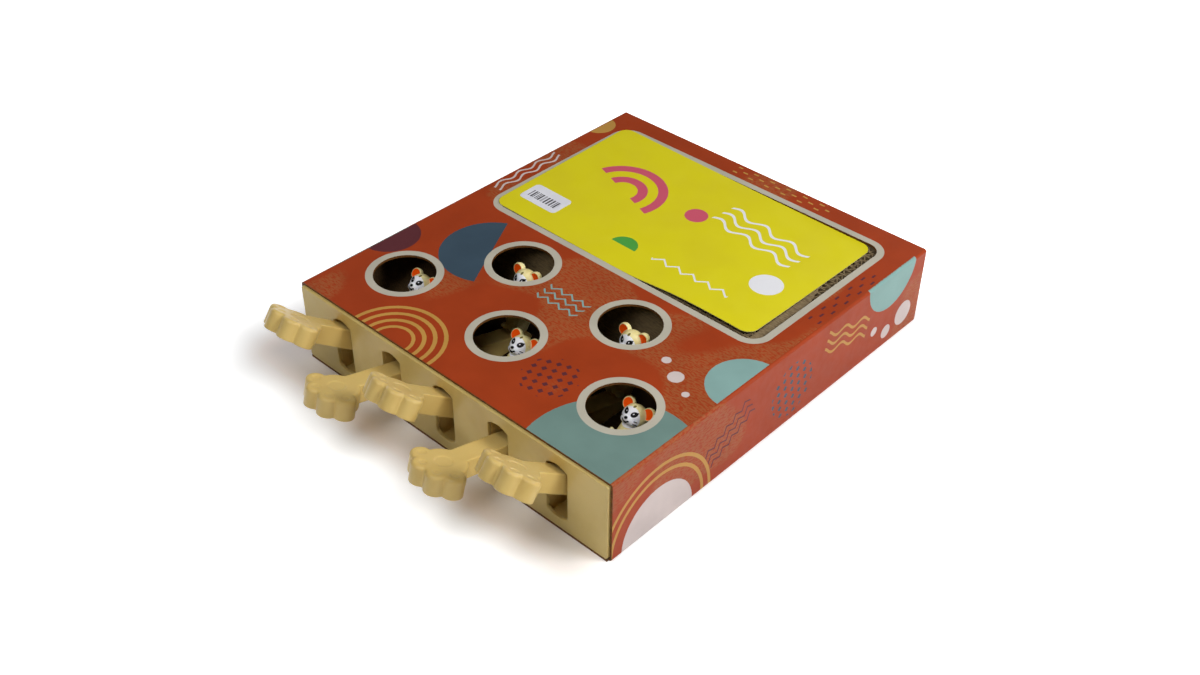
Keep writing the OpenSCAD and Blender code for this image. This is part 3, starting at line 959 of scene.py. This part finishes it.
def card_height(x, y):
    """Underside of the loose card: it lies on the window's left edge, sags to the pad and curls a little."""
    low, high = (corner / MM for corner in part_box("insert_card"))
    rest_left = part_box("box_top")[1].z / MM + CARD_ON_BOX
    rest_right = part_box("pad_liners")[1].z / MM + CARD_ON_PAD
    along = np.clip((x - WINDOW_LOW[X]) / (high.x - WINDOW_LOW[X]), 0, 1)
    back = (y - low.y) / (high.y - low.y)
    level = rest_left + (rest_right - rest_left) * along
    back_curl = CARD_BACK_CURL * back * (1 - along) ** 2
    bulge = np.exp(-((x - CARD_CURL_X) / CARD_CURL_REACH) ** 2)
    front_curl = CARD_FRONT_CURL * (1 - back) ** 2 * along * bulge
    return level + back_curl + front_curl


def card_front(x):
    """How far the card's cut front edge lies behind its straight line: it bows out at the left."""
    return CARD_RECESS * blend(x, *CARD_RECESS_RANGE) - CARD_BOW * (1 - blend(x, *CARD_BOW_RANGE))


def label_height(x, y):
    """Underside of the label on the card."""
    return card_height(x, y) + CARD_T + LABEL_ON_CARD


def sheet_faces(columns, rows):
    """Faces of a closed sheet: its upper grid, its lower grid and the rim between them."""
    count = columns * rows
    faces = []
    for i in range(columns - 1):
        for j in range(rows - 1):
            a, b = i * rows + j, (i + 1) * rows + j
            faces.append((a, b, b + 1, a + 1))
            faces.append((count + a, count + a + 1, count + b + 1, count + b))
    rim = [i * rows for i in range(columns)]
    rim += [(columns - 1) * rows + j for j in range(1, rows)]
    rim += [i * rows + rows - 1 for i in range(columns - 2, -1, -1)]
    rim += list(range(rows - 2, 0, -1))
    for a, b in zip(rim, rim[1:] + rim[:1]):
        faces.append((a, count + a, count + b, b))
    return faces


def sheet_mesh(name, low, high, radius, thickness, height, front=np.zeros_like, columns=64, rows=40):
    """Thin sheet with round corners over a height function and with a shaped front edge, as a closed mesh."""
    turn = np.linspace(0, math.pi / 2, CORNER_STEPS)
    rise = radius * (1 - np.cos(turn))
    straight = np.linspace(low.x + radius, high.x - radius, columns)[1:-1]
    x = np.concatenate([low.x + rise, straight, high.x - rise[::-1]])
    inset = np.zeros(len(x))
    inset[:CORNER_STEPS] = radius * (1 - np.sin(turn))
    inset[-CORNER_STEPS:] = radius * (1 - np.sin(turn[::-1]))
    share = np.linspace(0, 1, rows)
    y = (low.y + front(x) + inset)[:, None] * (1 - share) + (high.y - inset)[:, None] * share
    grid_x = np.repeat(x[:, None], rows, 1)
    under = height(grid_x, y)
    flat = np.column_stack([grid_x.ravel(), y.ravel()])
    levels = (under + thickness, under)
    verts = np.concatenate([np.column_stack([flat, level.ravel()]) for level in levels])
    mesh = bpy.data.meshes.new(name)
    mesh.from_pydata(verts * MM, [], sheet_faces(len(x), rows))
    mesh.update()
    smooth_by_angle(mesh, SHEET_CREASE)
    return mesh


def card_print():
    """Yellow card with a plain print in pink, white and green, and a bare grey underside."""
    shade = Shade("card_print")
    place = shade.place()
    colour = shade.mix(shade.ramp(shade.noise(place, size=40), 0.3, 0.7), *YELLOW)
    colour = with_motifs(shade, shade.plane(place, X, Y), colour, CARD_MOTIFS)
    under = shade.ramp(shade.normal()[Z], 0.1, -0.1)
    shade.set(Base_Color=shade.mix(under, colour, CARD_BACK))
    shade.set(Roughness=shade.ramp(shade.noise(place, size=12), 0.3, 0.7, to_low=0.30, to_high=0.40))
    shade.bump(shade.noise(place, size=0.9), depth=0.02, strength=0.4)
    return shade.material


def make_card():
    """The loose yellow card over the window."""
    low, high = (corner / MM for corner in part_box("insert_card"))
    mesh = sheet_mesh("loose_card", low, high, CARD_R, CARD_T, card_height, card_front)
    add_piece("loose_card", mesh, "box", card_print(), ("insert_card",))


def label_print(low, high):
    """White label with a row of dark bars of chance widths, which say nothing."""
    shade = Shade("label_print")
    place = shade.place()
    middle = ((low.x + high.x) / 2, (low.y + high.y) / 2)
    flat = shade.at(shade.plane(place, X, Y), *middle)
    chance = shade.noise(shade.flat(shade.parts(flat)[X]), BAR_WIDTH, detail=0)
    bars = shade.math("MULTIPLY", shade.math("SUBTRACT", 0.5, chance), BAR_WIDTH * BAR_SLOPE)
    block = rounded_block(shade, shade.at(flat, 0, BARS_DROP), *BARS_SIZE, BARS_R)
    colour = shade.mix(shade.ramp(shade.noise(place, size=9), 0.3, 0.7), *LABEL_WHITE)
    colour = shade.mix(shade.inside(shade.most(bars, block), PRINT_SOFT), colour, BAR_INK)
    shade.set(Base_Color=colour, Roughness=0.38)
    shade.bump(shade.noise(place, size=0.7), depth=0.02, strength=0.4)
    return shade.material


def make_label():
    """The white label on the card."""
    low, high = (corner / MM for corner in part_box("card_sticker"))
    mesh = sheet_mesh("white_label", low, high, LABEL_R, LABEL_T, label_height, columns=24, rows=16)
    add_piece("white_label", mesh, "box", label_print(low, high), ("card_sticker",))


# The whole part

def finish_node(node, material):
    """Gives a CAD piece its material."""
    piece = frame["nodes"][node]
    piece.data.materials.clear()
    piece.data.materials.append(material)


def dress_part():
    """Every piece of the board with its finish."""
    top_print = printed_card("print_top", (Z, 1), X, Y, TOP_MOTIFS, with_rings=True)
    finish_node("box_top", top_print)
    # The base's inner paper is darkened, as painted shade inside the box
    make_base(printed_card("print_base", (Z, -1), X, Y, [], inside=KRAFT_PAINTED_SHADE))
    finish_node("box_right_side", printed_card("print_right", (X, 1), Y, Z, RIGHT_MOTIFS))
    finish_node("box_left_side", printed_card("print_left", (X, -1), Y, Z, LEFT_MOTIFS))
    finish_node("box_back", printed_card("print_back", (Y, 1), X, Z, BACK_MOTIFS))
    finish_node("partition", kraft("partition_kraft", KRAFT_PALE))
    finish_node("pivot_rod", rod_steel())
    plastic = moulded_plastic("cream_plastic", CREAM)
    finish_node("rod_brackets", plastic)
    make_front_panel(moulded_plastic("panel_plastic", CREAM_PANEL))
    mouse, paint = mouse_mesh(), painted_mouse()
    for lane in LANES:
        make_lever(lane, plastic)
        make_mouse(lane, mouse, paint)
    make_pad(kraft("pad_kraft", KRAFT_PAD))
    make_card()
    make_label()


# Camera, light and floor

PLAIN_WHITE = (1, 1, 1, 1)
BLACK = (0, 0, 0, 1)
WORLD_LIGHT = 0.03
# Each lamp: its place and target in metres, its side in metres and its power in watts
LAMPS = {
    "key_light": ((0.95, 0.35, 0.85), (0, 0, 0), 0.55, 12.4),
    "top_light": ((0.18, -0.72, 1.3), (0, -0.06, 0.03), 0.9, 10.8),
    "left_light": ((-1.5, 0.2, 0.28), (0, 0, 0.03), 0.8, 2.5),
    "back_light": ((-0.2, 1.6, 0.28), (0, 0, 0.03), 0.8, 4),
}

# The studio's sizes, in metres
FLOOR_SIDE = 8.0
FLOOR_DROP = 0.05 * MM
WALL_HEIGHT = 1.5

# The floor's glow, by the distance in millimetres from the box's outline, which is shifted into the shadow: the
# glow is weak near the box, which paints the shadow's falloff there, and a warm tint paints the warm shade of that
# shadow
FLOOR_TONE = (0.82, 0.82, 0.82, 1)
FLOOR_GLOW_NEAR = 0.03
FLOOR_GLOW_FAR = 0.9
FLOOR_GLOW_REACH = (-8, 66)
# Painted shadow: warm tint of the floor near the box, and how far it reaches
FLOOR_PAINTED_SHADOW_TINT = (1, 0.45, 0.15, 1)
FLOOR_PAINTED_SHADOW_TINT_REACH = (-8, 28)
FLOOR_SHADE_SHIFT = (-20, -12)
FLOOR_SHADE_R = 1
WALL_GLOW = 0.95


def make_camera():
    """The photograph's camera."""
    azimuth, elevation, roll = (math.radians(a) for a in (CAMERA_AZIMUTH, CAMERA_ELEVATION, CAMERA_ROLL))
    level = math.cos(elevation)
    back = Vector((math.sin(azimuth) * level, -math.cos(azimuth) * level, math.sin(elevation)))
    right = (-back).cross(Vector((0, 0, 1))).normalized()
    up = right.cross(-back)
    rolled_right = math.cos(roll) * right + math.sin(roll) * up
    rolled_up = math.cos(roll) * up - math.sin(roll) * right
    data = bpy.data.cameras.new("camera")
    data.sensor_width = SENSOR_WIDTH
    data.lens = CAMERA_FOCAL / PICTURE_WIDTH * SENSOR_WIDTH
    camera = bpy.data.objects.new("camera", data)
    axes = Matrix((rolled_right, rolled_up, back)).transposed().to_4x4()
    camera.matrix_world = Matrix.Translation(Vector(CAMERA_PLACE) * MM) @ axes
    bpy.context.scene.collection.objects.link(camera)
    bpy.context.scene.camera = camera


def add_softbox(name, place, target, size, power):
    """Square lamp that looks at a target."""
    data = bpy.data.lights.new(name, "AREA")
    data.shape = "SQUARE"
    data.size = size
    data.energy = power
    lamp = bpy.data.objects.new(name, data)
    lamp.location = place
    lamp.rotation_euler = (Vector(target) - Vector(place)).to_track_quat("-Z", "Y").to_euler()
    bpy.context.scene.collection.objects.link(lamp)


def make_light():
    """Soft studio light: large lamps at the right and above the front, weak low ones, and a dim room."""
    for name, lamp in LAMPS.items():
        add_softbox(name, *lamp)
    world = bpy.data.worlds.new("studio")
    world.use_nodes = True
    background = world.node_tree.nodes["Background"]
    background.inputs["Color"].default_value = PLAIN_WHITE
    background.inputs["Strength"].default_value = WORLD_LIGHT
    bpy.context.scene.world = world


def add_stage(name, corners, faces, material):
    """Puts a flat piece of the studio below and around the object."""
    mesh = bpy.data.meshes.new(name)
    mesh.from_pydata(corners, [], faces)
    mesh.materials.append(material)
    piece = bpy.data.objects.new(name, mesh)
    piece.location.z = -FLOOR_DROP
    bpy.context.scene.collection.objects.link(piece)


def floor_white():
    """White floor that keeps the object's shadow; what the camera sees of it is lifted to white, less near the
    box, which paints the shadow's falloff, and with a painted warm shade there.
    """
    shade = Shade("floor_white")
    shade.set(Base_Color=FLOOR_TONE, Roughness=0.9, Specular_IOR_Level=0.0)
    low, high = (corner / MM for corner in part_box("box_base"))
    shaded = shade.at(shade.plane(shade.place(), X, Y), *FLOOR_SHADE_SHIFT)
    reach = rounded_block(shade, shaded, high.x - low.x, high.y - low.y, FLOOR_SHADE_R)
    # Painted shadow: less glow near the box, and a warm tint there
    glow = shade.ramp(reach, *FLOOR_GLOW_REACH, FLOOR_GLOW_NEAR, FLOOR_GLOW_FAR)
    painted_shadow_tint = shade.mix(shade.ramp(reach, *FLOOR_PAINTED_SHADOW_TINT_REACH), FLOOR_PAINTED_SHADOW_TINT, PLAIN_WHITE)
    shade.set(Emission_Color=painted_shadow_tint, Emission_Strength=shade.math("MULTIPLY", shade.seen(), glow))
    return shade.material


def wall_white():
    """Backdrop that looks white and throws no light on the object."""
    shade = Shade("wall_white")
    shade.set(Base_Color=BLACK, Roughness=1.0, Specular_IOR_Level=0.0)
    glow = shade.math("MULTIPLY", shade.seen(), WALL_GLOW)
    shade.set(Emission_Color=PLAIN_WHITE, Emission_Strength=glow)
    return shade.material


def make_studio():
    """Floor and a low backdrop round it, which low views see behind the object."""
    half = FLOOR_SIDE / 2
    square = [(-half, -half), (half, -half), (half, half), (-half, half)]
    low = [(x, y, 0) for x, y in square]
    high = [(x, y, WALL_HEIGHT) for x, y in square]
    walls = [(i, (i + 1) % 4, (i + 1) % 4 + 4, i + 4) for i in range(4)]
    add_stage("floor", low, [(0, 1, 2, 3)], floor_white())
    add_stage("backdrop", low + high, walls, wall_white())


dress_part()
make_camera()
make_light()
make_studio()
bpy.context.scene.view_settings.view_transform = "Standard"
